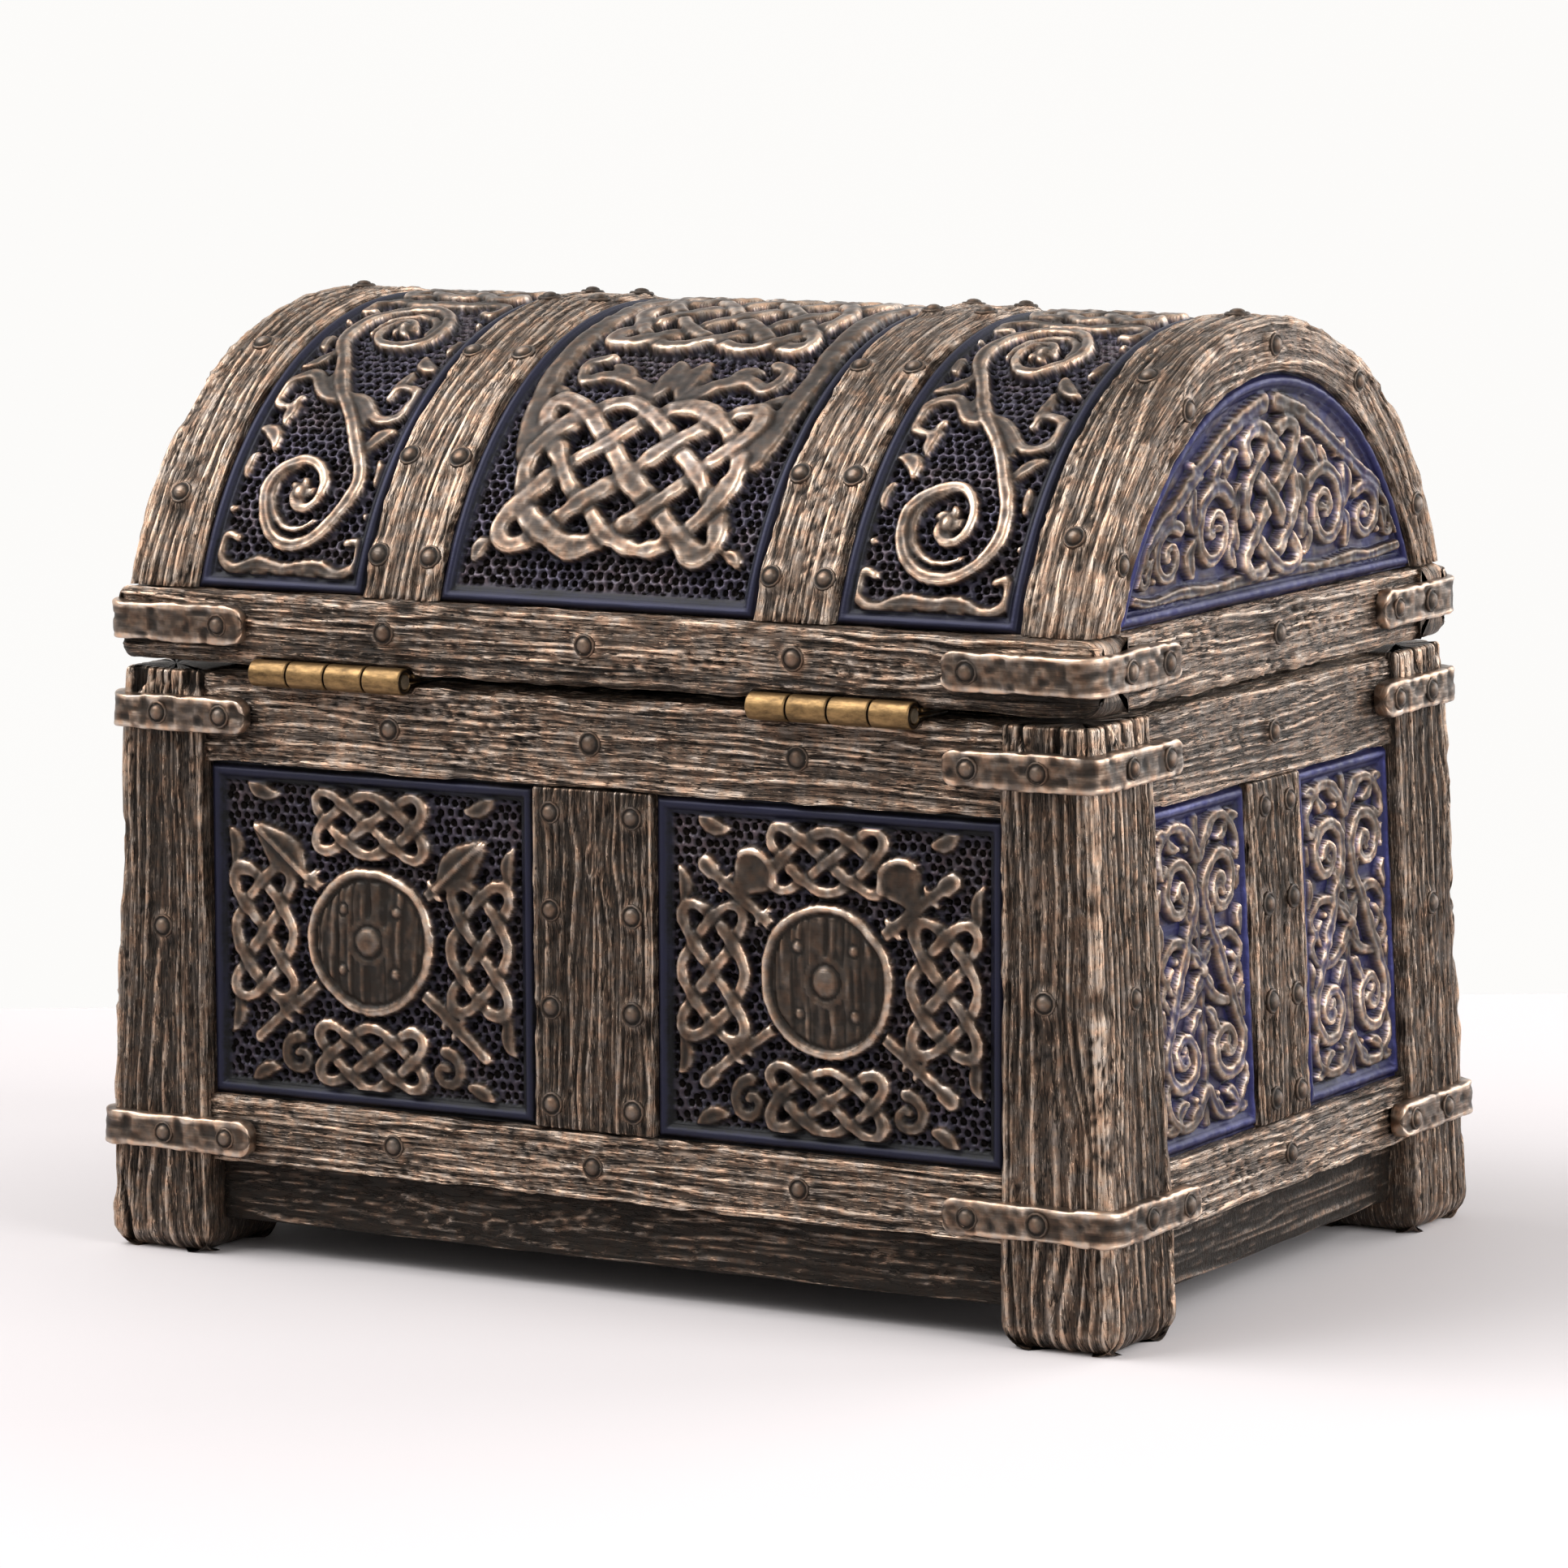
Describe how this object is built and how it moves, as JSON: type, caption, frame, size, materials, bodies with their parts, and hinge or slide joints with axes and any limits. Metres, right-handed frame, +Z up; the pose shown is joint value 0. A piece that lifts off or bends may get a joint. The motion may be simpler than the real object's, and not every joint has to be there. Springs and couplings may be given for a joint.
{
  "type": "trinket chest",
  "caption": "Small keepsake chest with a framed body on four feet and a hinged barrel-vaulted lid, carved relief panels and riveted corner straps.",
  "frame": {"origin": "middle of the base, on the surface that the feet stand on", "axes": "+Z up, +X along the chest to its right end as seen from the front, -Y to the front, hinges on the +Y side"},
  "size_m": [0.1316, 0.0908, 0.1069],
  "materials": {
    "carved_timber": "cast timber grain, green-black patina in the grooves and dry-brushed bronze on the ridges, satin",
    "relief_panel": "pitted navy ground with blue mouldings and dry-brushed bronze relief, satin",
    "strap_bronze": "hammered, dark bronze with bright worn edges, satin",
    "rivet_bronze": "bronze dome, worn bright on top",
    "hinge_brass": "antiqued brass, brushed",
    "pin_steel": "brass-plated steel",
    "base_board": "dark patina with a faint grain, satin"
  },
  "bodies": {
    "body": {"post_front_left": "carved_timber", "post_front_right": "carved_timber", "post_rear_left": "carved_timber", "post_rear_right": "carved_timber", "top_rail_front": "carved_timber", "top_rail_rear": "carved_timber", "top_rail_left": "carved_timber", "top_rail_right": "carved_timber", "bottom_rail_front": "carved_timber", "bottom_rail_rear": "carved_timber", "bottom_rail_left": "carved_timber", "bottom_rail_right": "carved_timber", "stile_front": "carved_timber", "stile_rear": "carved_timber", "stile_left": "carved_timber", "stile_right": "carved_timber", "panel_front_left": "relief_panel", "panel_front_right": "relief_panel", "panel_rear_left": "relief_panel", "panel_rear_right": "relief_panel", "panel_left_front": "relief_panel", "panel_left_rear": "relief_panel", "panel_right_front": "relief_panel", "panel_right_rear": "relief_panel", "base_board": "base_board", "lower_strap_front_left": "strap_bronze", "lower_strap_front_right": "strap_bronze", "lower_strap_rear_left": "strap_bronze", "lower_strap_rear_right": "strap_bronze", "upper_strap_front_left": "strap_bronze", "upper_strap_front_right": "strap_bronze", "upper_strap_rear_left": "strap_bronze", "upper_strap_rear_right": "strap_bronze", "body_rivets": "rivet_bronze", "hinge_left_body_leaf": "hinge_brass", "hinge_left_pin": "pin_steel", "hinge_right_body_leaf": "hinge_brass", "hinge_right_pin": "pin_steel", "body_hinge_screws": "pin_steel"},
    "lid": {"hinge_left_lid_leaf": "hinge_brass", "hinge_right_lid_leaf": "hinge_brass", "lid_hinge_screws": "pin_steel", "lid_rail_front": "carved_timber", "lid_rail_rear": "carved_timber", "lid_rail_left": "carved_timber", "lid_rail_right": "carved_timber", "rib_left_end": "carved_timber", "rib_left": "carved_timber", "rib_right": "carved_timber", "rib_right_end": "carved_timber", "dome_panel_left": "relief_panel", "dome_panel_centre": "relief_panel", "dome_panel_right": "relief_panel", "lunette_left": "relief_panel", "lunette_right": "relief_panel", "lid_strap_front_left": "strap_bronze", "lid_strap_front_right": "strap_bronze", "lid_strap_rear_left": "strap_bronze", "lid_strap_rear_right": "strap_bronze", "lid_rivets": "rivet_bronze"}
  },
  "joints": [
    {"name": "lid_hinge", "type": "hinge", "parent": "body", "child": "lid", "pos_m": [0, 0.0432, 0.0666], "axis": [-1, 0, 0], "range_deg": [0, 105]}
  ]
}
